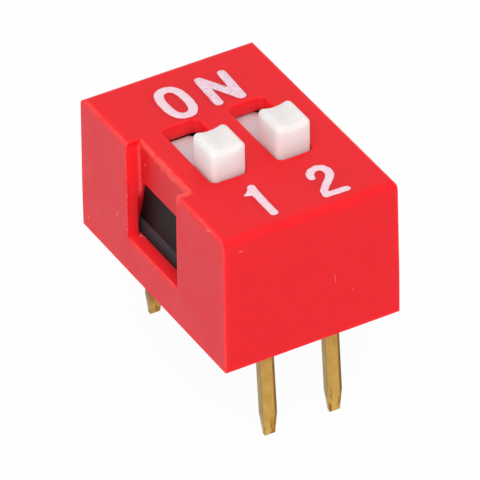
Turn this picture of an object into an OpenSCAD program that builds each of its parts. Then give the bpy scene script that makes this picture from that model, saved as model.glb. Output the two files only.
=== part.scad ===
// Two-position slide DIP switch.
// X runs along the row of switches, Y across it from the numbered side (-Y) to the ON side (+Y).
// Z = 0 is the board surface that the cover's rim stands on, and the pins go through it.
// Both slides are drawn in their OFF place, at the -Y end of their slots.

/* [Layout] */
// Distance between neighbouring switches
pitch = 2.54; // [2.2:0.01:3.2]
// Distance between the two rows of pins
row_spacing = 7.62; // [6:0.01:9.5]

/* [Cover] */
// Height of the cover above the board
cover_height = 5.3; // [4.4:0.05:6.5]
// Thickness of the long walls and of the corners
cover_wall = 0.55; // [0.4:0.01:0.7]
// Thickness of the top over the slides
top_wall = 0.52; // [0.4:0.01:0.7]
// How far each outer wall leans in over its height
draft = 0.05; // [0:0.01:0.1]
// Rounding of the two long top edges
long_edge_radius = 0.3; // [0.1:0.01:0.4]
// Rounding of the two end top edges
end_edge_radius = 0.13; // [0.05:0.01:0.2]
// Rounding of the upright corners
corner_radius = 0.05; // [0.03:0.01:0.2]
// Rounding of the slots' top edges
slot_edge_radius = 0.06; // [0.03:0.01:0.12]
// Chamfer inside the rim, where the base is pushed in
rim_lead_in = 0.15; // [0.05:0.01:0.25]

/* [End recess] */
// Width of the recess in the end of position 1
recess_width = 3.4; // [2.8:0.05:4.2]
// Depth of the recess
recess_depth = 0.55; // [0.3:0.01:0.7]
// Rounding of the recess's inner corners
recess_fillet = 0.11; // [0.05:0.01:0.2]
// Thickness of the wall left behind the recess
recess_floor = 0.18; // [0.15:0.01:0.3]
// Thickness of the wall between the recess and the corner pocket
recess_side_wall = 0.45; // [0.3:0.01:0.6]
// Height of the ledge at the bottom of the recess
ledge_height = 1.41; // [1.1:0.01:1.7]
// Rounding of the ledge's outer edge
ledge_edge_radius = 0.1; // [0.05:0.01:0.2]
// Height of the latch window above the ledge
window_height = 2.25; // [1.9:0.01:2.6]
// Height above the ledge at which the window starts to narrow
window_shoulder = 1.04; // [0.8:0.01:1.4]
// How much the window narrows at each side, up to its top
window_taper = 0.17; // [0.1:0.01:0.4]

/* [Slides] */
// Distance that a slide travels
travel = 2; // [1.7:0.01:2.5]
// Width of the knob
knob_width = 1.32; // [1:0.01:1.6]
// Length of the knob, along its travel
knob_length = 1.46; // [1.1:0.01:1.8]
// Height of the knob above the cover
knob_rise = 1.17; // [0.9:0.01:1.5]
// Rounding of the knob's edges
knob_radius = 0.2; // [0.12:0.01:0.3]
// Depth of the finger hollow along the knob's top
knob_dish = 0.08; // [0.03:0.01:0.12]
// How far the plate under the cover is wider than the knob, at each side
plate_lap = 0.24; // [0.2:0.01:0.35]
// Thickness of that plate
plate_thickness = 0.6; // [0.4:0.01:0.8]
// Rounding of the plate's corners, and of its top edges at the two ends
plate_radius = 0.05; // [0.03:0.01:0.2]
// Width of the narrow noses in which the plate ends
nose_width = 1; // [0.8:0.01:1.2]
// Length of these noses
nose_length = 0.4; // [0.35:0.01:0.6]
// Rounding of their corners
nose_radius = 0.3; // [0.1:0.01:0.35]
// Distance of each slide from its OFF stop as the switch is set
set_back = [0.03, 0.1]; // [0.03:0.01:0.2]

/* [Base] */
// Height of the base's underside above the board
standoff = 0.1; // [0.05:0.01:0.2]
// Height of the channel floors, where the contact pads lie
floor_height = 2; // [1.7:0.05:2.2]
// Thickness of the base between a channel and the recess
base_side_wall = 0.4; // [0.35:0.01:0.6]
// Thickness of the base beyond the channels' ends and beyond the rows of pins
base_end_wall = 0.56; // [0.4:0.01:0.8]
// Width of the shoulders that the plates slide on
shoulder = 0.2; // [0.15:0.01:0.25]
// How far the latch stands out over the ledge's level
latch_reach = 0.12; // [0.05:0.01:0.15]
// Height of the latch's sloping face
latch_height = 0.52; // [0.25:0.01:0.7]
// Width of the latch in the flat end
latch_width = 3.34; // [2.4:0.01:3.8]
// How far the pad that fills the recessed window stands out
window_reach = 0.13; // [0.05:0.01:0.15]
// Gap between that pad and the window's edges
window_gap = 0.04; // [0.03:0.01:0.1]
// How much shorter the latch is than the window's foot, at each end
latch_inset = 0.2; // [0.18:0.01:0.3]

/* [Contacts] */
// Thickness of the terminals' sheet
sheet = 0.28; // [0.2:0.01:0.32]
// Width of a contact pad in the channel floor
pad_width = 0.9; // [0.7:0.01:1.1]
// Distance between the two pads of a channel
pad_gap = 0.6; // [0.4:0.01:0.8]
// Inner radius of the bend from pad to pin
bend_radius = 0.15; // [0.1:0.01:0.25]
// Width of a pin
pin_width = 0.55; // [0.4:0.01:0.65]
// Length of a pin below the board surface
pin_length = 3.95; // [3:0.05:5]
// Length of the pin's tapered end
tip_length = 0.85; // [0.4:0.05:1]
// Width of the pin's blunt tip
tip_width = 0.2; // [0.1:0.01:0.3]
// Angle at which the front row of pins spreads outwards, and the rear row
splay = [3.8, 1.3]; // [0:0.1:6]
// Thickness of the moving contact's spring sheet
spring_sheet = 0.12; // [0.08:0.01:0.15]
// Width of the moving contact
spring_width = 0.8; // [0.6:0.01:0.95]
// Height of the moving contact's top above its wipers
spring_height = 0.95; // [0.7:0.01:1.2]
// Distance between the two wipers of a moving contact
wiper_spacing = 2; // [1.7:0.01:2.4]
// Width of the cut that splits each wiper in two
wiper_split = 0.2; // [0.1:0.01:0.3]
// How far the front wiper stands on its pad when a slide is ON
wiper_overlap = 0.22; // [0.1:0.01:0.4]

/* [Fits] */
// Gap between the base and the cover
base_gap = 0.03; // [0.02:0.01:0.05]
// Gap beside and under a sliding plate
slide_gap = 0.05; // [0.03:0.01:0.08]
// Gap between a sliding plate and the cover over it
lid_gap = 0.03; // [0.02:0.01:0.06]
// Gap between a knob and the long sides of its slot
knob_gap = 0.03; // [0.02:0.01:0.08]
// Gap between a knob and the end of its slot at a stop
stop_gap = 0.03; // [0.02:0.01:0.05]
// Gap between the end of a plate and the end of its channel at a stop
channel_end_gap = 0.05; // [0.03:0.01:0.15]
// Running gap between the wipers and the pads
wiper_gap = 0.03; // [0.02:0.01:0.05]
// Gap round the peg that holds a moving contact
peg_gap = 0.02; // [0.01:0.01:0.05]
// Gap between a moving contact and the walls of its pocket
pocket_gap = 0.05; // [0.03:0.01:0.08]

/* [Hidden] */

$fn = 48;
positions = 2;
// Overshoot of a cutting shape past the face that it cuts
over = 1;
// Overlap that fuses two shapes of one solid
lap = 0.1;

// Along the travel: the slot holds the knob, and the plate closes what the knob leaves open
slot_length = travel + knob_length + 2 * stop_gap;
plate_length = slot_length + travel;
channel_length = plate_length + travel + 2 * channel_end_gap;
base_width = max(channel_length, row_spacing) + 2 * base_end_wall;
cavity_width = base_width + 2 * base_gap;
cover_width = cavity_width + 2 * cover_wall;

// Along the row: each channel holds a plate, and the -X end has room for the recess
slot_width = knob_width + 2 * knob_gap;
slot_radius = knob_radius + knob_gap;
plate_width = knob_width + 2 * plate_lap;
channel_width = plate_width + 2 * slide_gap;
well_width = channel_width - 2 * shoulder;
cover_length = (positions - 1) * pitch + channel_width
    + 2 * (base_side_wall + base_gap + recess_floor + recess_depth);
cavity_length = cover_length - 2 * cover_wall;

// The recess: its floor, the cavity wall behind it, and where the corner pockets start
recess_x = -cover_length / 2 + recess_depth;
recess_cavity_x = recess_x + recess_floor;
corner_start = recess_width / 2 + recess_side_wall;

// Upwards
cavity_height = cover_height - top_wall;
plate_top = cavity_height - lid_gap;
plate_bottom = plate_top - plate_thickness;
shoulder_height = plate_bottom - slide_gap;
base_top = cavity_height - 2 * slide_gap;
window_top = ledge_height + window_height;
shoulder_z = ledge_height + window_shoulder;
latch_bottom = ledge_height + base_gap;
wiper_bottom = floor_height + wiper_gap;
spring_top = wiper_bottom + spring_height;

// Bent line of the moving contact: half its flat top, and the rise of each wiper's free end
spring_flat = 0.5;
wiper_end = [0.22, 0.26];

// The slide's lower block carries the moving contact a little in front of the knob, so that
// both wipers lie on the front pad when OFF and straddle the two pads when ON
contact_offset = (wiper_spacing - pad_gap) / 2 - wiper_overlap - travel / 2;
block_clearance = 0.35;
block_end_wall = 0.17;
peg_diameter = 0.32;
peg_length = 0.26;
pocket_length = wiper_spacing + 2 * wiper_end.x + spring_sheet + 2 * pocket_gap;
pocket_width = spring_width + 2 * pocket_gap;
block_length = pocket_length + 2 * block_end_wall;
block_width = well_width - 2 * slide_gap;
block_bottom = floor_height + block_clearance;

// Small moulded features of the base
pin_pocket = [1.1, 0.9];
pin_pocket_radius = 0.22;
pin_pocket_depth = 0.25;
support_hole_diameter = 0.6;
support_hole_y = (pad_gap + row_spacing) / 4;
channel_chamfer = 0.1;

// ---------- Shared shapes ----------

// Extrudes a Y-Z outline along X, centred
module along_x(length) {
    rotate([90, 0, 90]) linear_extrude(length, center = true) children();
}

// Extrudes an X-Z outline along Y, centred
module along_y(length) {
    rotate([90, 0, 0]) linear_extrude(length, center = true) children();
}

// Centred rectangle with round corners
module round_rectangle(size, radius) {
    square([size.x - 2 * radius, size.y], center = true);
    square([size.x, size.y - 2 * radius], center = true);
    for (x = [-1, 1], y = [-1, 1])
        translate([x * (size.x / 2 - radius), y * (size.y / 2 - radius)]) circle(radius);
}

// Upright outline whose sides lean in by `lean` over the height, with round top corners
module leaning_outline(width, height, lean, radius) {
    angle = atan(lean / height);
    centre = width / 2 - ((height - radius) * sin(angle) + radius) / cos(angle);
    touch = [centre + radius * cos(angle), height - radius + radius * sin(angle)];
    polygon([[-width / 2, 0], [width / 2, 0], touch, [centre, height],
             [-centre, height], [-touch.x, touch.y]]);
    for (side = [-1, 1])
        translate([side * centre, height - radius]) circle(radius);
}

// What is taken off an edge to round it: the edge is at the origin, and its wall faces -x
// and leans in by `lean` degrees
module edge_rounding(radius, lean = 0) {
    centre = [radius * (1 - sin(lean)) / cos(lean), -radius];
    difference() {
        polygon([centre, centre - (radius + lap) * [cos(lean), -sin(lean)],
                 [-2 * lap, lap], [centre.x, lap]]);
        translate(centre) circle(radius);
    }
}

// The same round an opening with round corners, whose edge lies at z = 0
module opening_rounding(size, corner, radius) {
    for (turn = [0 : 3]) rotate(90 * turn) {
        reach = turn % 2 == 0 ? size / 2 : [size.y, size.x] / 2;
        translate([reach.x, 0, 0]) along_y(2 * (reach.y - corner)) edge_rounding(radius);
        translate([reach.x - corner, reach.y - corner, 0])
            rotate_extrude(angle = 90) translate([corner, 0]) edge_rounding(radius);
    }
}

// Bar of sheet metal along a bent line, seen from its edge
module bent_sheet(line, thickness) {
    for (k = [0 : len(line) - 2]) {
        run = line[k + 1] - line[k];
        translate(line[k]) rotate(atan2(run.y, run.x))
            translate([0, -thickness / 2]) square([norm(run), thickness]);
    }
    for (p = line) translate(p) circle(thickness / 2);
}

function position_x(i) = (i - (positions - 1) / 2) * pitch;
function knob_y(i) = -slot_length / 2 + set_back[i] + knob_length / 2;

// ---------- Cover ----------

// The cover's inside, and with a gap taken off all round, the base that fills it:
// shorter behind the recess, with a pocket in each corner beside it
module cavity_plan(gap) {
    difference() {
        square([cavity_length - 2 * gap, cavity_width - 2 * gap], center = true);
        translate([recess_cavity_x + gap - over / 2, 0])
            square([over, 2 * (corner_start + gap)], center = true);
    }
}

module cover_outside() {
    intersection() {
        along_x(cover_length) leaning_outline(cover_width, cover_height, draft, long_edge_radius);
        along_y(cover_width) leaning_outline(cover_length, cover_height, draft, end_edge_radius);
        linear_extrude(cover_height) round_rectangle([cover_length, cover_width], corner_radius);
    }
}

// Recess in the -X end, open at the top, with round edges where its floor meets the top and
// where its ledge meets the end face
module recess_cut() {
    depth = recess_depth + over;
    translate([recess_x - depth / 2, 0, ledge_height])
        linear_extrude(cover_height) round_rectangle([depth, recess_width], recess_fillet);
    translate([recess_x, 0, cover_height]) along_y(recess_width) edge_rounding(end_edge_radius);
    translate([draft * ledge_height / cover_height - cover_length / 2, 0, ledge_height])
        along_y(recess_width) edge_rounding(ledge_edge_radius, atan(draft / cover_height));
}

// Opening for a latch through the flat end wall, narrower towards its top
module window_cut() {
    half = recess_width / 2;
    from_x = cavity_length / 2 - lap;
    to_x = cover_length / 2 + lap;
    translate([(from_x + to_x) / 2, 0, 0]) along_x(to_x - from_x)
        polygon([[-half, ledge_height], [half, ledge_height], [half, shoulder_z],
                 [half - window_taper, window_top], [window_taper - half, window_top],
                 [-half, shoulder_z]]);
}

// Outline of the recessed end's window, with a gap taken off its sides and its top: its foot
// runs on behind the recess's side walls, and it narrows up to its top
module recessed_window(gap, bottom) {
    foot = corner_start - window_gap - gap;
    head = recess_width / 2 - window_taper - gap;
    polygon([[-foot, bottom], [foot, bottom], [head, window_top - gap], [-head, window_top - gap]]);
}

module recessed_window_cut() {
    from_x = recess_x - recess_fillet;
    to_x = recess_cavity_x + lap;
    translate([(from_x + to_x) / 2, 0, 0]) along_x(to_x - from_x) recessed_window(0, ledge_height);
}

// Slot of a knob, with its top edge rounded
module slot_cut() {
    translate([0, 0, cavity_height - over]) linear_extrude(top_wall + 2 * over)
        round_rectangle([slot_width, slot_length], slot_radius);
    translate([0, 0, cover_height])
        opening_rounding([slot_width, slot_length], slot_radius, slot_edge_radius);
}

module cover() {
    color("#E8323A") difference() {
        cover_outside();
        translate([0, 0, -over]) linear_extrude(cavity_height + over) cavity_plan(0);
        for (i = [0 : positions - 1]) translate([position_x(i), 0, 0]) slot_cut();
        recess_cut();
        recessed_window_cut();
        window_cut();
        // Lead-in along the two long walls
        along_x(cavity_length)
            polygon([[-cavity_width / 2 - rim_lead_in, 0], [cavity_width / 2 + rim_lead_in, 0],
                     [cavity_width / 2, rim_lead_in], [-cavity_width / 2, rim_lead_in]]);
    }
}

// ---------- Base ----------

// Wedge that snaps into a window, for an end face at `face` that looks along +X
module latch(face, width) {
    root = face - base_side_wall / 2;
    along_y(width)
        polygon([[root, latch_bottom], [face + latch_reach, latch_bottom],
                 [face, latch_bottom + latch_height], [root, latch_bottom + latch_height]]);
}

// Pad that fills the recessed window, with the latch along its foot
module window_pad(face) {
    translate([face + (window_reach - lap) / 2, 0, 0]) along_x(window_reach + lap)
        recessed_window(window_gap, latch_bottom);
    latch(face + window_reach, 2 * (corner_start - latch_inset));
}

// Room of one slide: a wide channel for the plate over a narrower well for the block
module channel_cut() {
    translate([0, 0, (floor_height + base_top + over) / 2])
        cube([well_width, channel_length, base_top + over - floor_height], center = true);
    along_y(channel_length)
        polygon([[-channel_width / 2, shoulder_height], [channel_width / 2, shoulder_height],
                 [channel_width / 2, base_top - channel_chamfer],
                 [channel_width / 2 + channel_chamfer, base_top],
                 [channel_width / 2 + channel_chamfer, base_top + over],
                 [-channel_width / 2 - channel_chamfer, base_top + over],
                 [-channel_width / 2 - channel_chamfer, base_top],
                 [-channel_width / 2, base_top - channel_chamfer]]);
}

module base() {
    color("#24272A") difference() {
        union() {
            translate([0, 0, standoff])
                linear_extrude(base_top - standoff) cavity_plan(base_gap);
            latch(cavity_length / 2 - base_gap, latch_width);
            mirror([1, 0, 0]) window_pad(-recess_cavity_x - base_gap);
        }
        for (i = [0 : positions - 1]) translate([position_x(i), 0, 0]) {
            channel_cut();
            for (side = [-1, 1]) {
                terminal_shape(side);
                // Relief round the pin, and the hole left by the tool that held the pad
                translate([0, side * row_spacing / 2, 0])
                    linear_extrude(standoff + pin_pocket_depth)
                        round_rectangle(pin_pocket, pin_pocket_radius);
                translate([0, side * support_hole_y, 0])
                    cylinder(h = floor_height - sheet, d = support_hole_diameter);
            }
        }
    }
}

// ---------- Slides ----------

// Block whose edges are as round as a ball rolled along them, and whose top is hollowed by an arc
module knob() {
    ball = [knob_width / 2 - knob_radius, knob_length / 2 - knob_radius,
            cover_height + knob_rise - knob_radius];
    // The balls' centres lie on an arc that sags by the hollow's depth
    arc_radius = (ball.x * ball.x + knob_dish * knob_dish) / (2 * knob_dish);
    arc_z = ball.z + arc_radius - knob_dish;
    half_angle = asin(ball.x / arc_radius);
    difference() {
        translate([0, 0, plate_bottom]) linear_extrude(ball.z - plate_bottom)
            round_rectangle([knob_width, knob_length], knob_radius);
        translate([0, 0, arc_z]) along_y(knob_length + over) circle(arc_radius);
    }
    translate([0, 0, arc_z]) rotate([90, 0, 0]) rotate(-90 - half_angle)
        rotate_extrude(angle = 2 * half_angle) translate([arc_radius, 0]) {
            square([2 * knob_radius, 2 * ball.y], center = true);
            for (side = [-1, 1]) translate([0, side * ball.y]) circle(knob_radius);
        }
    for (side = [-1, 1]) {
        translate([side * ball.x, 0, ball.z]) along_y(2 * ball.y) circle(knob_radius);
        for (end = [-1, 1])
            translate([side * ball.x, end * ball.y, ball.z]) sphere(knob_radius);
    }
}

// Sliding plate, with the noses that close the slot's ends
module plate() {
    intersection() {
        linear_extrude(plate_thickness) {
            round_rectangle([plate_width, plate_length - 2 * nose_length], plate_radius);
            round_rectangle([nose_width, plate_length], nose_radius);
        }
        along_x(plate_width) leaning_outline(plate_length, plate_thickness, 0, plate_radius);
    }
}

// Block under the plate, hollow below, with the peg that the moving contact is pressed on
module contact_block() {
    translate([0, contact_offset, 0]) {
        difference() {
            translate([0, 0, block_bottom]) linear_extrude(plate_bottom + lap - block_bottom)
                square([block_width, block_length], center = true);
            translate([0, 0, block_bottom - over]) linear_extrude(spring_top + over - block_bottom)
                square([pocket_width, pocket_length], center = true);
        }
        translate([0, 0, spring_top - peg_length])
            cylinder(h = peg_length + lap, d = peg_diameter);
    }
}

module actuator(i) {
    color("#F2EEEA") translate([position_x(i), knob_y(i), 0]) {
        knob();
        translate([0, 0, plate_bottom]) plate();
        contact_block();
    }
}

// Arched spring with two split wipers, one towards each row of pins
module moving_contact(i) {
    low = wiper_bottom + spring_sheet / 2;
    high = spring_top - spring_sheet / 2;
    reach = wiper_spacing / 2;
    color("#C9A24A") translate([position_x(i), knob_y(i) + contact_offset, 0]) difference() {
        along_x(spring_width)
            bent_sheet([[-reach - wiper_end.x, low + wiper_end.y], [-reach, low],
                        [-spring_flat, high], [spring_flat, high],
                        [reach, low], [reach + wiper_end.x, low + wiper_end.y]], spring_sheet);
        for (side = [-1, 1])
            translate([0, side * (spring_flat + reach), (low + high) / 2])
                cube([wiper_split, 2 * reach, 2 * spring_height], center = true);
        translate([0, 0, low]) cylinder(h = spring_height, d = peg_diameter + 2 * peg_gap);
    }
}

// ---------- Terminals ----------

// Pad, bend and pin seen along X, for the +Y row
module terminal_side(angle) {
    row = row_spacing / 2;
    bend_centre = [row - sheet / 2 - bend_radius, floor_height - sheet - bend_radius];
    translate([pad_gap / 2, floor_height - sheet])
        square([bend_centre.x - pad_gap / 2, sheet]);
    intersection() {
        translate(bend_centre) difference() {
            circle(bend_radius + sheet);
            circle(bend_radius);
        }
        translate(bend_centre) square(bend_radius + sheet);
    }
    translate([row - sheet / 2, 0]) square([sheet, bend_centre.y]);
    // Below the board the pin spreads outwards and thins to its tip
    translate([row, 0]) {
        circle(sheet / 2);
        rotate(angle)
            polygon([[-sheet / 2, 0], [-sheet / 2, tip_length - pin_length],
                     [-sheet / 4, -pin_length], [sheet / 4, -pin_length],
                     [sheet / 2, tip_length - pin_length], [sheet / 2, 0]]);
    }
}

// The same sheet seen along Y: wide pad above, narrow pin with a tapered tip below
module terminal_front() {
    neck = floor_height - sheet - bend_radius;
    half_pad = pad_width / 2;
    half_pin = pin_width / 2;
    polygon([[-half_pad, floor_height], [-half_pad, neck],
             [-half_pin, neck - (half_pad - half_pin)], [-half_pin, tip_length - pin_length],
             [-tip_width / 2, -pin_length - over], [tip_width / 2, -pin_length - over],
             [half_pin, tip_length - pin_length], [half_pin, neck - (half_pad - half_pin)],
             [half_pad, neck], [half_pad, floor_height]]);
}

// side is -1 for the front row and 1 for the rear row
module terminal_shape(side) {
    mirror([0, side < 0 ? 1 : 0, 0]) intersection() {
        along_x(pad_width) terminal_side(splay[side < 0 ? 0 : 1]);
        along_y(2 * cover_width) terminal_front();
    }
}

module terminal(i, side) {
    color("#B98F3C") translate([position_x(i), 0, 0]) terminal_shape(side);
}

cover();
base();
actuator(0);  // actuator_1
actuator(1);  // actuator_2
moving_contact(0);  // moving_contact_1
moving_contact(1);  // moving_contact_2
terminal(0, -1);  // terminal_1_front
terminal(0, 1);  // terminal_1_rear
terminal(1, -1);  // terminal_2_front
terminal(1, 1);  // terminal_2_rear
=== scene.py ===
"""Two-position slide DIP switch: the looks of its pieces, in the order of putting it together."""

import math

import bmesh
import bpy
from mathutils import Matrix, Vector, noise


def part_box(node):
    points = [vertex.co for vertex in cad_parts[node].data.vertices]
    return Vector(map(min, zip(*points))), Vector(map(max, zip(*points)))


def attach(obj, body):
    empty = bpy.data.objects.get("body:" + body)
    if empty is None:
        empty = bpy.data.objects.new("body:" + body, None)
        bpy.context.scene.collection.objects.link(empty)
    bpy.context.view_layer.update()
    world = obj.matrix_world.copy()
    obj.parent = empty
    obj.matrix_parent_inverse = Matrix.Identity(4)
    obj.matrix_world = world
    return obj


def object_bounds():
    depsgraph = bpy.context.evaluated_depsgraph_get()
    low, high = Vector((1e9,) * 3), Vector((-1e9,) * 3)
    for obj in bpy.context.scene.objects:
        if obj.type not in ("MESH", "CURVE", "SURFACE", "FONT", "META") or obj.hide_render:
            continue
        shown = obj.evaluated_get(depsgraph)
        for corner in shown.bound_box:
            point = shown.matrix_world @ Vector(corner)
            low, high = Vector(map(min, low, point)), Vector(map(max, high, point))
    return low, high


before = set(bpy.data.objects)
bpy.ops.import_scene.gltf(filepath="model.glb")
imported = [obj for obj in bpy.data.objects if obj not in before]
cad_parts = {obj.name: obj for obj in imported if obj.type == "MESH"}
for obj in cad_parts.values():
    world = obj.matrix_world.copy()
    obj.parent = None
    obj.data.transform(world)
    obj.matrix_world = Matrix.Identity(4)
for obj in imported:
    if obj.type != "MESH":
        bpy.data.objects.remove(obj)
cad_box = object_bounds()

# ---------- Terminals ----------
# Four flat pins, each in one piece with the contact pad that it carries inside the base.
# They are stamped from thin brass strip and gold-plated, then moulded into the base, two in
# each row, and their sheared edges and cut tips stay browner than their faces.

MM = 0.001
PITCH = 2.54 * MM
PIN_WIDTH = 0.55 * MM
PIN_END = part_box("terminal_1_front")[0].z
TERMINALS = ["terminal_1_front", "terminal_1_rear", "terminal_2_front", "terminal_2_rear"]


def linear(code):
    """The linear colour of an sRGB hex value such as "#C9A24A"."""
    channels = [int(code[k : k + 2], 16) / 255 for k in (1, 3, 5)]
    return [c / 12.92 if c <= 0.04045 else ((c + 0.055) / 1.055) ** 2.4 for c in channels] + [1]


def add(tree, kind, inputs=(), out=0, **settings):
    """Adds a shader node, and gives the output that out numbers or names, or the node itself if
    it has none. The inputs are a list in the node's own order, or go by name. Each is a value,
    a hex colour, or the output that feeds it."""
    made = tree.nodes.new("ShaderNode" + kind)
    for name, value in settings.items():
        setattr(made, name, value)
    pairs = inputs.items() if isinstance(inputs, dict) else enumerate(inputs)
    for key, value in pairs:
        if isinstance(value, bpy.types.NodeSocket):
            tree.links.new(value, made.inputs[key])
        else:
            made.inputs[key].default_value = linear(value) if isinstance(value, str) else value
    return made.outputs[out] if made.outputs else made


def new_finish(name):
    """An empty material, its node tree, and its object coordinates."""
    finish = bpy.data.materials.new(name)
    finish.use_nodes = True
    tree = finish.node_tree
    tree.nodes.clear()
    return finish, tree, add(tree, "TexCoord", out="Object")


def grain(tree, place, size, detail):
    """Noise whose lumps are of this size, or of three sizes along x, y and z."""
    sizes = size if isinstance(size, tuple) else (size, size, size)
    spread = add(tree, "Mapping", {"Vector": place, "Scale": [1 / s for s in sizes]})
    return add(tree, "TexNoise", {"Vector": spread, "Scale": 1.0, "Detail": detail})


def rounded(tree, radius):
    """Normal with its edges rounded off, and how near a point is to such an edge, from 0 to 1."""
    edge = add(tree, "Bevel", {"Radius": radius}, samples=6)
    face = add(tree, "NewGeometry", out="Normal")
    turn = add(tree, "VectorMath", [edge, face], out="Value", operation="DOT_PRODUCT")
    return edge, add(tree, "MapRange", [turn, 0.99, 0.85])


def where(tree, *limits):
    """Mask of what lies inside every limit. A limit is a value, where the mask starts and where
    it is full, and then the shares at the start and the end if they aren't 0 and 1."""
    mask = 1.0
    for limit in limits:
        mask = add(tree, "Math", [mask, add(tree, "MapRange", limit)], operation="MULTIPLY")
    return mask


def layered(tree, colour, layers):
    """A colour with others laid over it in turn, each as far as its mask says."""
    for mask, over in layers:
        colour = add(tree, "MixRGB", [mask, colour, over])
    return colour


def put_on(finish, names):
    """Gives this finish to CAD nodes."""
    for name in names:
        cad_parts[name].data.materials[0] = finish


def gold_plated_stamped_brass():
    """Thin satin gold with lines drawn along the strip, dark pits, browner sheared edges and
    stained tips, where the plating is cut through."""
    finish, tree, place = new_finish("gold_plated_stamped_brass")
    across, row, height = (add(tree, "SeparateXYZ", [place], out=axis) for axis in "XYZ")
    # Tarnish comes in clouds about 0.5 mm across
    clouds = grain(tree, place, 0.5 * MM, 4.0)
    cloudy = add(tree, "MapRange", [clouds, 0.35, 0.65])
    # Drawn lines: some 0.02 mm apart in fact, and here 0.06 mm, so that they show
    lines = grain(tree, place, (0.06 * MM, 0.06 * MM, 1.6 * MM), 3.0)
    drawn = add(tree, "MapRange", [lines, 0.55, 0.80, 0, 0.3])
    # Sheared edges look along x. The rims of every face are painted darker brown: painted shade where the
    # faces turn away at their edges
    facing = add(tree, "SeparateXYZ", [add(tree, "NewGeometry", out="Normal")], out="X")
    sideways = add(tree, "Math", [facing], operation="ABSOLUTE")
    sheared = add(tree, "MapRange", [sideways, 0.5, 0.8])
    edge, near_edge = rounded(tree, 0.03 * MM)
    rim_shade = add(tree, "MapRange", [near_edge, 0.0, 0.6, 0, 0.75])
    # The punch rolled the edge over on the +X side. Its dark brown strip is painted shade, where the
    # rolled edge turns away from the light
    rightwards = add(tree, "SeparateXYZ", [rounded(tree, 0.17 * MM)[0]], out="X")
    in_pitch = add(tree, "Math", [across, PITCH, 0.0], operation="WRAP")
    pin_side = PITCH / 2 + PIN_WIDTH / 2
    beside = add(tree, "MapRange", [in_pitch, pin_side - 0.11 * MM, pin_side - 0.06 * MM])
    turning = add(tree, "MapRange", [rightwards, 0.12, 0.4])
    rolled = add(tree, "Math", [turning, beside], operation="MAXIMUM")
    patchy = add(tree, "MapRange", [clouds, 0.3, 0.7, 0.5, 0.9])
    rolled = add(tree, "Math", [rolled, patchy], operation="MULTIPLY")
    # Just under the body the gold is redder
    roots = add(tree, "MapRange", [height, -1.6 * MM, -0.3 * MM, 0, 0.4])
    # Painted shade on the rear row, which stands under and behind the red body, so it is darker and redder
    # than the front row
    rear_row_shade = where(tree, (row, 0, 1 * MM), (clouds, 0.3, 0.6, 0.35, 0.8))
    # Tips: paler where the taper was coined, with brown stains up to 1.3 mm above the end
    coined = add(tree, "MapRange", [height, PIN_END + 0.85 * MM, PIN_END + 0.35 * MM, 0, 0.45])
    streaks = grain(tree, place, (0.12 * MM, 0.12 * MM, 0.45 * MM), 4.0)
    stained = where(tree, (height, PIN_END + 1.35 * MM, PIN_END + 0.25 * MM), (streaks, 0.50, 0.66))
    # Pits: some 0.03 mm across in fact, and here 0.06 mm, so that they show
    pits = grain(tree, place, (0.06 * MM, 0.06 * MM, 0.08 * MM), 1.0)
    pits = add(tree, "MapRange", [pits, 0.70, 0.78, 0, 0.8])
    metal = layered(tree, "#C09649", [
        (cloudy, "#D0A75A"), (drawn, "#8F7038"), (sheared, "#A8925C"), (rim_shade, "#5E4220"),
        (rolled, "#55361A"), (roots, "#A85F3C"), (rear_row_shade, "#7A4229"), (coined, "#DAB55E"),
        (stained, "#9A5B22"), (pits, "#4A3A1C")])
    relief = add(tree, "Bump", {"Height": lines, "Distance": 0.004 * MM, "Strength": 0.7, "Normal": edge})
    shader = add(tree, "BsdfPrincipled", {
        "Base Color": metal, "Metallic": 1.0,
        "Roughness": add(tree, "MapRange", [clouds, 0.3, 0.7, 0.3, 0.46]), "Normal": relief})
    add(tree, "OutputMaterial", [shader])
    return finish


put_on(gold_plated_stamped_brass(), TERMINALS)

# ---------- Base ----------
# Black block that carries the terminals and guides the slides. It is moulded in glass-filled
# PBT and snaps into the cover from below, so it shows in the two windows and underneath.

# The latches' sloping faces run from 1.44 mm up to here
LATCH_TOP = 1.96 * MM


def moulded_glass_filled_pbt():
    """Dark satin plastic: the glass fibres make it faintly streaky and rough, and they grey
    the edges that rub on the cover."""
    finish, tree, place = new_finish("moulded_glass_filled_pbt")
    # The melt's flow shows in clouds about 0.8 mm across
    clouds = grain(tree, place, 0.8 * MM, 3.0)
    cloudy = add(tree, "MapRange", [clouds, 0.3, 0.7])
    # Fibres: 0.01 mm thick and 0.3 mm long, here 0.05 mm thick, so that they show
    fibres = grain(tree, place, (0.05 * MM, 0.3 * MM, 0.05 * MM), 3.0)
    streaky = add(tree, "MapRange", [fibres, 0.55, 0.8, 0, 0.5])
    edge, near_edge = rounded(tree, 0.05 * MM)
    rubbed = add(tree, "MapRange", [near_edge, 0, 1, 0, 0.5])
    # Painted light: the latches' sloping faces look up, so they are painted a lighter grey, most of all
    # high up
    slope = add(tree, "SeparateXYZ", [add(tree, "NewGeometry", out="Normal")], out="Z")
    height = add(tree, "SeparateXYZ", [place], out="Z")
    lit_slope = where(tree, (slope, 0.05, 0.15), (slope, 0.6, 0.4),
                    (height, LATCH_TOP - 0.46 * MM, LATCH_TOP - 0.11 * MM, 0.25, 1.0))
    black = layered(tree, "#040608", [
        (cloudy, "#090C0F"), (streaky, "#313336"), (rubbed, "#424448"), (lit_slope, "#37383C")])
    relief = add(tree, "Bump", {"Height": fibres, "Distance": 0.006 * MM, "Strength": 0.6, "Normal": edge})
    shader = add(tree, "BsdfPrincipled", {
        "Base Color": black, "Roughness": add(tree, "MapRange", [fibres, 0.3, 0.7, 0.42, 0.6]),
        "IOR": 1.55, "Specular IOR Level": 0.1, "Normal": relief})
    add(tree, "OutputMaterial", [shader])
    return finish


put_on(moulded_glass_filled_pbt(), ["base"])

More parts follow.
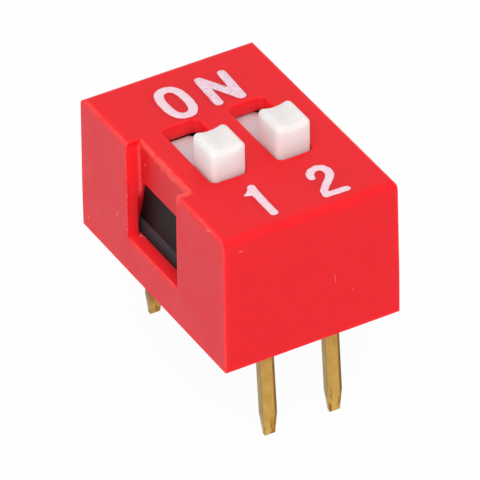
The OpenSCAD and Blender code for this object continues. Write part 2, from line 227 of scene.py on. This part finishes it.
# ---------- Moving contacts ----------
# One arched spring under each slide, with two wipers that bridge the pads. It is stamped and
# bent from spring bronze and gold-plated, so it is redder and brighter than the terminals.


def gold_plated_spring_bronze():
    """Bright gold with fine lines along the strip, and redder bronze at its cut edges."""
    finish, tree, place = new_finish("gold_plated_spring_bronze")
    # Rolled lines: some 0.02 mm apart in fact, and here 0.05 mm, so that they show
    lines = grain(tree, place, (0.05 * MM, 1.2 * MM, 0.05 * MM), 3.0)
    rolled = add(tree, "MapRange", [lines, 0.35, 0.7])
    edge, near_edge = rounded(tree, 0.02 * MM)
    metal = layered(tree, "#D9B25E", [(rolled, "#C1923F"), (near_edge, "#A86A3C")])
    relief = add(tree, "Bump", {"Height": lines, "Distance": 0.003 * MM, "Strength": 0.5, "Normal": edge})
    shader = add(tree, "BsdfPrincipled", {
        "Base Color": metal, "Metallic": 1.0,
        "Roughness": add(tree, "MapRange", [lines, 0.3, 0.7, 0.24, 0.36]), "Normal": relief})
    add(tree, "OutputMaterial", [shader])
    return finish


put_on(gold_plated_spring_bronze(), ["moving_contact_1", "moving_contact_2"])

# ---------- Slides ----------
# Two white slides, each a knob on a plate that keeps its slot closed, over the block that
# carries the spring. They are moulded in natural nylon and drop into the base's channels.

COVER_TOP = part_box("cover")[1].z


def moulded_nylon():
    """Milky, slightly translucent white: its edges glow, it takes up the red around it, and
    its satin skin carries faint flow marks and a few specks of dust."""
    finish, tree, place = new_finish("moulded_nylon")
    # Flow marks lie in level bands, about 0.5 mm long and half as high
    flow = grain(tree, place, (0.5 * MM, 0.5 * MM, 0.25 * MM), 3.0)
    marked = add(tree, "MapRange", [flow, 0.35, 0.7])
    # Upright faces get a painted cooler tint, which takes out some of the red light that the cover throws
    # on them, and upright edges a painted white highlight, where light goes in on both sides
    turned, near_edge = rounded(tree, 0.32 * MM)
    upwards = add(tree, "SeparateXYZ", [turned], out="Z")
    upright = add(tree, "MapRange", [upwards, 0.8, 0.2])
    edge_highlight = add(tree, "MapRange", [upwards, 0.35, 0.1])
    edge_highlight = add(tree, "Math", [near_edge, edge_highlight], operation="MULTIPLY")
    # Down in the slot the plate and the feet of the knobs are greyer and pinker, and a few specks of dust
    # lie everywhere
    height = add(tree, "SeparateXYZ", [place], out="Z")
    down_in_slot = add(tree, "MapRange", [height, COVER_TOP - 0.1 * MM, COVER_TOP - 0.3 * MM])
    specks = grain(tree, place, 0.05 * MM, 1.0)
    specks = add(tree, "MapRange", [specks, 0.765, 0.80, 0, 0.5])
    white = layered(tree, "#E2E1DE", [
        (marked, "#E7E6E3"), (upright, "#E7EFEE"), (edge_highlight, "#FFFFFF"), (down_in_slot, "#D1C8CC"),
        (specks, "#8E8A86")])
    # Spark-eroded skin: 0.02 mm in fact, and here 0.09 mm, so that it shows
    skin = grain(tree, place, 0.09 * MM, 2.0)
    relief = add(tree, "Bump", {"Height": skin, "Distance": 0.003 * MM, "Strength": 0.5,
                                "Normal": rounded(tree, 0.04 * MM)[0]})
    shader = add(tree, "BsdfPrincipled", {
        "Base Color": white, "Roughness": add(tree, "MapRange", [flow, 0.3, 0.7, 0.45, 0.58]),
        "IOR": 1.53, "Specular IOR Level": 0.25, "Subsurface Weight": 1.0,
        "Subsurface Scale": 1.1 * MM, "Subsurface Radius": (0.7, 1.0, 1.0), "Normal": relief})
    add(tree, "OutputMaterial", [shader])
    return finish


put_on(moulded_nylon(), ["actuator_1", "actuator_2"])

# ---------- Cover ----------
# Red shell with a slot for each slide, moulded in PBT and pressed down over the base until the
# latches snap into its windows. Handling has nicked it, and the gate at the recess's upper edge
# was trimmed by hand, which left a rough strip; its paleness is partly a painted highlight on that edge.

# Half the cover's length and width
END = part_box("cover")[1].x
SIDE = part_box("cover")[1].y
# Half the length and width of the area that holds both slots
SLOTS_X = 2.1 * MM
SLOTS_Y = 1.95 * MM
# Where the recess's floor is, and half the recess's width
RECESS_X = 0.55 * MM - END
RECESS_HALF = 1.7 * MM
# Nicks: centre, and half lengths along x, y and z, in mm
NICKS = [((-3.37, 2.40, 2.02), (0.08, 0.03, 0.13)), ((-3.37, 2.50, 1.90), (0.08, 0.03, 0.06)),
         ((-3.37, 4.53, 0.50), (0.06, 0.05, 0.05)), ((-3.37, 4.28, 3.44), (0.06, 0.03, 0.04)),
         ((-3.37, 1.73, 3.16), (0.06, 0.04, 0.08)), ((-3.37, 1.76, 1.73), (0.06, 0.06, 0.04)),
         ((-3.37, 1.99, 3.71), (0.06, 0.03, 0.03)), ((-3.37, 3.19, 2.73), (0.06, 0.03, 0.03)),
         ((-2.83, 1.34, 4.48), (0.06, 0.06, 0.05)), ((-2.92, 1.58, 1.41), (0.08, 0.06, 0.05)),
         ((-2.84, 1.43, 1.41), (0.08, 0.06, 0.05)), ((-3.37, 0.83, 1.45), (0.05, 0.06, 0.06)),
         ((-3.37, 0.05, 1.42), (0.05, 0.09, 0.04)), ((-3.37, -1.27, 1.40), (0.05, 0.07, 0.04)),
         ((-2.69, -4.92, 4.77), (0.10, 0.06, 0.03)), ((-3.33, -3.85, 5.22), (0.08, 0.10, 0.04)),
         ((-3.36, 1.79, 0.10), (0.06, 0.05, 0.05)), ((1.57, -4.92, 1.60), (0.03, 0.06, 0.04)),
         ((0.88, -4.92, 2.30), (0.015, 0.06, 0.25))]
# Where the pale strip, partly the gate and partly a painted highlight, runs out over the recess's corner:
# centre and half lengths, in mm
STRIP_END = ((-3.08, -1.80, 5.3), (0.34, 0.17, 0.3))


def distance(tree, place, centre, half):
    """How far a point is from a mark's centre, in the mark's own half lengths."""
    near = add(tree, "Mapping", {"Vector": place, "Location": [-c / h for c, h in zip(centre, half)],
                                 "Scale": [1 / (h * MM) for h in half]})
    return add(tree, "VectorMath", [near], out="Value", operation="LENGTH")


def moulded_pbt():
    """Bright satin red, a little cloudy where the melt met, with thin pale lines along its edges, partly
    painted highlight and partly wear, small pale nicks, and a rough pale strip along the recess's
    upper edge, partly the trimmed gate and partly a painted highlight."""
    finish, tree, place = new_finish("moulded_pbt")
    across, along, height = (add(tree, "SeparateXYZ", [place], out=axis) for axis in "XYZ")
    # Distances from the middle, and how much a face looks along x, either way
    x_out = add(tree, "Math", [across], operation="ABSOLUTE")
    y_out = add(tree, "Math", [along], operation="ABSOLUTE")
    facing = add(tree, "SeparateXYZ", [add(tree, "NewGeometry", out="Normal")], out="X")
    endways = add(tree, "Math", [facing], operation="ABSOLUTE")
    # Where the melt met it is cloudy, in swirls about 1.1 mm across
    clouds = grain(tree, place, 1.1 * MM, 4.0)
    cloudy = add(tree, "MapRange", [clouds, 0.3, 0.7])
    # The ends are painted a little paler: a painted sheen that stands for the bright tent reflected in
    # faces that look along x
    end_sheen = where(tree, (endways, 0.9, 0.97), (x_out, END - 0.18 * MM, END - 0.08 * MM, 0, 0.8))
    # The pigment is spread unevenly, in spots about 0.24 mm across
    spots = grain(tree, place, 0.24 * MM, 3.0)
    spotted = add(tree, "MapRange", [spots, 0.52, 0.75, 0, 0.5])
    # Light that has gone in comes out again near an edge, so the red is fuller there
    fuller = add(tree, "Math", [rounded(tree, 0.35 * MM)[1], 0.9], operation="MULTIPLY")
    # Painted light: the walls inside the slots and the recess are painted a brighter red, to make up for
    # the shade that falls there
    in_slots = where(tree, (x_out, SLOTS_X + 0.1 * MM, SLOTS_X), (y_out, SLOTS_Y + 0.05 * MM, SLOTS_Y),
                     (height, COVER_TOP - 0.03 * MM, COVER_TOP - 0.12 * MM))
    in_recess = where(tree, (endways, 0.6, 0.3), (x_out, END - 0.04 * MM, END - 0.1 * MM),
                      (x_out, END - 0.78 * MM, END - 0.68 * MM),
                      (y_out, RECESS_HALF + 0.04 * MM, RECESS_HALF + 0.01 * MM),
                      (height, COVER_TOP - 0.1 * MM, COVER_TOP - 0.2 * MM))
    clear = add(tree, "Math", [in_slots, in_recess], operation="MAXIMUM")
    # Pale lines, partly painted highlight and partly wear: the round edges that border the ends are paler
    # where they look between x and another axis
    pale = where(tree, (endways, 0.12, 0.45), (endways, 0.985, 0.9),
                 (x_out, END - 0.88 * MM, END - 0.68 * MM), (spots, 0.3, 0.6, 0.25, 0.8))
    # The sharp upright corners get pale lines too, and the recess's mouth pale spots, again partly painted
    # highlight and partly scuffs
    corners = where(tree, (x_out, END - 0.38 * MM, END - 0.28 * MM),
                    (y_out, SIDE - 0.35 * MM, SIDE - 0.25 * MM), (spots, 0.3, 0.6, 0.4, 0.9))
    mouth = where(tree, (x_out, END - 0.18 * MM, END - 0.13 * MM),
                  (y_out, RECESS_HALF + 0.25 * MM, RECESS_HALF + 0.15 * MM),
                  (grain(tree, place, 0.11 * MM, 2.0), 0.5, 0.62))
    for area, width in ((corners, 0.11 * MM), (mouth, 0.07 * MM)):
        line = add(tree, "Math", [rounded(tree, width)[1], area], operation="MULTIPLY")
        pale = add(tree, "Math", [pale, line], operation="MAXIMUM")
    # Pale strip along the recess's upper edge, partly the trimmed gate and partly a painted highlight on
    # the rounded edge: up to 0.3 mm below the edge, and barely over it, so a distance along x counts for
    # more than one along z
    over_edge = 2.5
    strip_middle = COVER_TOP - 0.12 * MM
    from_edge = add(tree, "Mapping", {"Vector": place, "Scale": (over_edge, 0, 1),
                                      "Location": (-RECESS_X * over_edge, 0, -strip_middle)})
    away = add(tree, "VectorMath", [from_edge], out="Value", operation="LENGTH")
    rough = grain(tree, place, (0.2 * MM, 0.35 * MM, 0.16 * MM), 4.0)
    reach = add(tree, "MapRange", [rough, 0.35, 0.65, 0.05 * MM, 0.25 * MM])
    strip = where(tree, (add(tree, "Math", [away, reach], operation="SUBTRACT"), 0.06 * MM, -0.06 * MM),
                  (along, RECESS_HALF, RECESS_HALF - 0.3 * MM),
                  (along, -RECESS_HALF - 0.2 * MM, -RECESS_HALF))
    # At its front end it runs out over the recess's corner
    ragged = add(tree, "MapRange", [rough, 0.3, 0.7, -0.4, 0.4])
    strip_end = add(tree, "Math", [distance(tree, place, *STRIP_END), ragged], operation="ADD")
    strip_end = add(tree, "MapRange", [strip_end, 1.1, 0.8])
    strip = add(tree, "Math", [strip, strip_end], operation="MAXIMUM")
    gate_and_highlight = add(tree, "Math", [strip, 0.65], operation="MULTIPLY")
    nicked = 0.0
    for centre, half in NICKS:
        nick = add(tree, "MapRange", [distance(tree, place, centre, half), 1.0, 0.55, 0, 0.75])
        nicked = add(tree, "Math", [nicked, nick], operation="MAXIMUM")
    red = layered(tree, "#E41521", [
        (cloudy, "#E71B26"), (end_sheen, "#E32F3C"), (spotted, "#D61F26"), (fuller, "#FF121C"),
        (clear, "#FF2932"), (pale, "#FF5450"), (gate_and_highlight, "#FF5A54"), (nicked, "#F58F86")])
    # Spark-eroded skin: 0.02 mm in fact, and here 0.08 mm, so that it shows
    skin = grain(tree, place, 0.08 * MM, 2.0)
    relief = add(tree, "Bump", {"Height": skin, "Distance": 0.002 * MM, "Strength": 0.4,
                                "Normal": rounded(tree, 0.06 * MM)[0]})
    torn = add(tree, "Math", [strip, rough], operation="MULTIPLY")
    relief = add(tree, "Bump", {"Height": torn, "Distance": 0.03 * MM, "Strength": 0.25, "Normal": relief})
    shader = add(tree, "BsdfPrincipled", {
        "Base Color": red, "Roughness": add(tree, "MapRange", [clouds, 0.3, 0.7, 0.38, 0.48]),
        "IOR": 1.5, "Specular IOR Level": 0.2, "Subsurface Weight": 0.7,
        "Subsurface Scale": 0.7 * MM, "Subsurface Radius": (1.0, 0.12, 0.1), "Normal": relief})
    add(tree, "OutputMaterial", [shader])
    return finish


put_on(moulded_pbt(), ["cover"])

# ---------- Print ----------
# ON over the rear end of the slots, and 1 and 2 in front of them. The marks are pad-printed in
# white ink, so they are thin, a little ragged, and let the red through here and there.

INK = 0.014 * MM
# The next sizes are in mm. The grid's step is fine enough for a smooth outline
GRID = 0.03
# Room round a pen line, for half its width and its ragged edge
MARGIN = 0.28
# The ink's edge: lump size, height, and which part of the noise it takes
RAGGED = [(0.16, 0.014, 0), (0.06, 0.008, 5)]
# The O is an oval with slightly square shoulders
O_CENTRE = (-0.72, 2.94)
O_HALF = (0.425, 0.815)
O_STROKE = 0.165


def shoulder(value):
    """Moves a sine or cosine outwards, which squares an oval's shoulders."""
    return math.copysign(abs(value) ** 0.8, value)


ROUND_O = [(O_CENTRE[0] + O_HALF[0] * shoulder(math.cos(turn)),
            O_CENTRE[1] + O_HALF[1] * shoulder(math.sin(turn)), O_STROKE)
           for turn in (math.tau * k / 48 for k in range(49))]
# Points of each mark's pen line, and half the line's width there
MARKS = {
    "print_letter_O": ROUND_O,
    "print_letter_N": [(0.52, 2.21, 0.165), (0.58, 3.66, 0.17), (1.38, 2.19, 0.18), (1.47, 3.65, 0.16)],
    "print_number_1": [(-1.36, -2.89, 0.04), (-1.20, -2.87, 0.12), (-1.08, -2.80, 0.13),
                       (-0.95, -2.58, 0.13), (-1.00, -2.90, 0.15), (-1.02, -4.20, 0.145)],
    "print_number_2": [(1.03, -3.16, 0.13), (1.06, -2.98, 0.14), (1.20, -2.82, 0.14),
                       (1.42, -2.76, 0.145), (1.62, -2.84, 0.15), (1.70, -3.05, 0.155),
                       (1.66, -3.28, 0.15), (1.50, -3.50, 0.14), (1.24, -3.74, 0.135),
                       (1.03, -3.98, 0.13), (0.97, -4.24, 0.135), (1.73, -4.27, 0.135)],
}


def depth_in_line(x, y, line, seed):
    """How deep a point lies inside a pen line, with the ragged edge that the pad leaves."""
    deepest = -math.inf
    for (ax, ay, a_half), (bx, by, b_half) in zip(line, line[1:]):
        dx, dy = bx - ax, by - ay
        share = min(1, max(0, ((x - ax) * dx + (y - ay) * dy) / (dx * dx + dy * dy)))
        apart = math.hypot(x - ax - share * dx, y - ay - share * dy)
        deepest = max(deepest, a_half + share * (b_half - a_half) - apart)
    return deepest + sum(height * noise.noise(Vector((x / lump, y / lump, seed + part)))
                         for lump, height, part in RAGGED)


def printed_mark(name, line, seed):
    """Layer of ink over a pen line: its outline is followed across a fine grid, its edges run
    thin, and its underside is flush with the cover."""
    left, low = (min(point[k] for point in line) - MARGIN for k in (0, 1))
    right, high = (max(point[k] for point in line) + MARGIN for k in (0, 1))
    columns = int((right - left) / GRID) + 1
    rows = int((high - low) / GRID) + 1
    depth = {(i, j): depth_in_line(left + i * GRID, low + j * GRID, line, seed)
             for i in range(columns + 1) for j in range(rows + 1)}
    mesh = bmesh.new()
    corners = {}

    def corner(a, b=None):
        """Top and bottom vertex at a grid point, or where the outline crosses a grid line."""
        key = (a,) if b is None else (min(a, b), max(a, b))
        if key not in corners:
            if b is None:
                i, j, deep = a[0], a[1], depth[a]
            else:
                a, b = key
                share = depth[a] / (depth[a] - depth[b])
                i, j, deep = a[0] + share * (b[0] - a[0]), a[1] + share * (b[1] - a[1]), 0
            x, y = left + i * GRID, low + j * GRID
            # The layer starts at a quarter of its thickness and is full 0.05 mm further in
            thickness = INK * min(1, 0.25 + deep / 0.07)
            lumpy = 0.8 + 0.5 * noise.noise(Vector((x / 0.2, y / 0.2, seed + 9)))
            corners[key] = [mesh.verts.new((x * MM, y * MM, COVER_TOP + z))
                            for z in (thickness * lumpy, 0)]
        return corners[key]

    for i in range(columns):
        for j in range(rows):
            square = [(i, j), (i + 1, j), (i + 1, j + 1), (i, j + 1)]
            rim = []
            for a, b in zip(square, square[1:] + square[:1]):
                if depth[a] > 0:
                    rim.append(corner(a))
                if (depth[a] > 0) != (depth[b] > 0):
                    rim.append(corner(a, b))
            if len(rim) > 2:
                mesh.faces.new([top for top, bottom in rim])
                mesh.faces.new([bottom for top, bottom in reversed(rim)])
    below = {top: bottom for top, bottom in corners.values()}
    for edge in [e for e in mesh.edges if e.is_boundary and e.verts[0] in below]:
        a, b = edge.verts
        mesh.faces.new((a, b, below[b], below[a]))
    bmesh.ops.recalc_face_normals(mesh, faces=mesh.faces)
    for face in mesh.faces:
        face.smooth = True
    data = bpy.data.meshes.new(name)
    mesh.to_mesh(data)
    mark = bpy.data.objects.new(name, data)
    bpy.context.scene.collection.objects.link(mark)
    return mark


def pad_printed_ink(name, worn):
    """Matt white ink, pinkish where it is thin, with more or fewer grey specks of worn ink."""
    finish, tree, place = new_finish(name)
    # The pad leaves thin patches about 0.18 mm across
    thin = grain(tree, place, 0.18 * MM, 4.0)
    pinkish = add(tree, "MapRange", [thin, 0.42, 0.66])
    # Specks: some 0.03 mm across in fact, and here 0.055 mm, so that they show
    specks = grain(tree, place, 0.055 * MM, 2.0)
    specks = add(tree, "MapRange", [specks, 0.5, 0.66, 0, worn])
    ink = layered(tree, "#EED4DE", [(pinkish, "#F2C7D0"), (specks, "#9585B2")])
    relief = add(tree, "Bump", {"Height": thin, "Distance": 0.004 * MM, "Strength": 0.6})
    shader = add(tree, "BsdfPrincipled", {
        "Base Color": ink, "Roughness": add(tree, "MapRange", [thin, 0.3, 0.7, 0.45, 0.6]),
        "IOR": 1.48, "Specular IOR Level": 0.3, "Normal": relief})
    add(tree, "OutputMaterial", [shader])
    return finish


sound_ink = pad_printed_ink("pad_printed_ink", 0.12)
worn_ink = pad_printed_ink("worn_pad_printed_ink", 0.6)
for number, (name, line) in enumerate(MARKS.items()):
    # Each mark takes its own part of the noise
    mark = printed_mark(name, line, number * 20.0)
    mark.data.materials.append(worn_ink if name == "print_letter_N" else sound_ink)
    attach(mark, "housing")

# ---------- Studio ----------
# A sheet of white paper under the pins, a white tent all round, which is brightest overhead
# and so keeps the top as bright as the front, and one broad lamp in front, above and left.

# Half the sheet's side, in metres
PAPER_HALF = 1.5
# Share of plain white in the paper where it is seen. The rest is lit, so it keeps the shadow
PAPER_GLOW = 0.96
# Strength of the tent's light low down and overhead
TENT_LOW = 0.43
TENT_HIGH = 0.735
# The lamp's place and width, in metres, and its power in watts
LAMP_FROM = Vector((-0.12, -0.225, 0.32))
LAMP_WIDTH = 0.34
LAMP_POWER = 1.15


def seen(tree):
    """1 for rays that show the background itself: straight on, mirrored or through glass."""
    share = 0.0
    for ray in ("Is Camera Ray", "Is Glossy Ray", "Is Transmission Ray"):
        share = add(tree, "Math", [share, add(tree, "LightPath", out=ray)], operation="MAXIMUM")
    return share


def white_paper_floor():
    """Matt white paper: plain white where it is seen, with a faint shadow of the switch."""
    finish, tree = new_finish("white_paper_floor")[:2]
    paper = add(tree, "BsdfDiffuse", {"Color": "#F7F7F7"})
    glow = add(tree, "Emission", {"Color": "#FFFFFF", "Strength": 1.0})
    share = add(tree, "Math", [seen(tree), PAPER_GLOW], operation="MULTIPLY")
    add(tree, "OutputMaterial", [add(tree, "MixShader", [share, paper, glow])])
    return finish


def white_tent():
    """World that is plain white where it is seen, and lights the switch less than that."""
    world = bpy.data.worlds.new("studio")
    world.use_nodes = True
    tree = world.node_tree
    tree.nodes.clear()
    skyward = add(tree, "SeparateXYZ", [add(tree, "TexCoord", out="Generated")], out="Z")
    strength = add(tree, "MapRange", [skyward, 0.2, 1.0, TENT_LOW, TENT_HIGH])
    tent = add(tree, "Background", {"Color": "#FFFFFF", "Strength": strength})
    white = add(tree, "Background", {"Color": "#FFFFFF", "Strength": 1.0})
    add(tree, "OutputWorld", [add(tree, "MixShader", [seen(tree), tent, white])])
    return world


lowest = cad_box[0].z
floor_mesh = bpy.data.meshes.new("floor")
floor_mesh.from_pydata([(-PAPER_HALF, -PAPER_HALF, lowest), (PAPER_HALF, -PAPER_HALF, lowest),
                        (PAPER_HALF, PAPER_HALF, lowest), (-PAPER_HALF, PAPER_HALF, lowest)],
                       [], [(0, 1, 2, 3)])
floor_mesh.materials.append(white_paper_floor())
floor = bpy.data.objects.new("floor", floor_mesh)
bpy.context.scene.collection.objects.link(floor)
bpy.context.scene.world = white_tent()

lamp_data = bpy.data.lights.new("front_softbox", "AREA")
lamp_data.shape = "DISK"
lamp_data.size = LAMP_WIDTH
lamp_data.energy = LAMP_POWER
lamp = bpy.data.objects.new("front_softbox", lamp_data)
bpy.context.scene.collection.objects.link(lamp)
lamp.matrix_world = Matrix.Translation(LAMP_FROM) @ LAMP_FROM.to_track_quat("Z", "Y").to_matrix().to_4x4()

# ---------- Camera ----------
# A long lens from the front left and above, which shows the top, the numbered side and the
# recessed end, and keeps upright edges almost parallel.

AZIMUTH = math.radians(-29.072)
ELEVATION = math.radians(36.498)
ROLL = math.radians(-1.155)
DISTANCE = 233.3 * MM
# Width of what the lens takes in, at the point that it aims at
VIEW_WIDTH = 16.205267 * MM
back = Vector((math.sin(AZIMUTH) * math.cos(ELEVATION), -math.cos(AZIMUTH) * math.cos(ELEVATION),
               math.sin(ELEVATION)))
level = Vector((math.cos(AZIMUTH), math.sin(AZIMUTH), 0))
upright = back.cross(level)
right = level * math.cos(ROLL) + upright * math.sin(ROLL)
up = upright * math.cos(ROLL) - level * math.sin(ROLL)
# From the middle of the body the aim moves down the view, to take in the pins
aim = Vector((0, 0, 2.7 * MM)) + right * 0.040 * MM - up * 1.274 * MM
lens = bpy.data.cameras.new("camera")
lens.sensor_width = 36
lens.lens = lens.sensor_width * DISTANCE / VIEW_WIDTH
lens.clip_start = 0.01
lens.clip_end = 10
camera = bpy.data.objects.new("camera", lens)
bpy.context.scene.collection.objects.link(camera)
turn = Matrix((right, up, back)).transposed().to_4x4()
camera.matrix_world = Matrix.Translation(aim + back * DISTANCE) @ turn
bpy.context.scene.camera = camera
bpy.context.scene.view_settings.view_transform = "Standard"
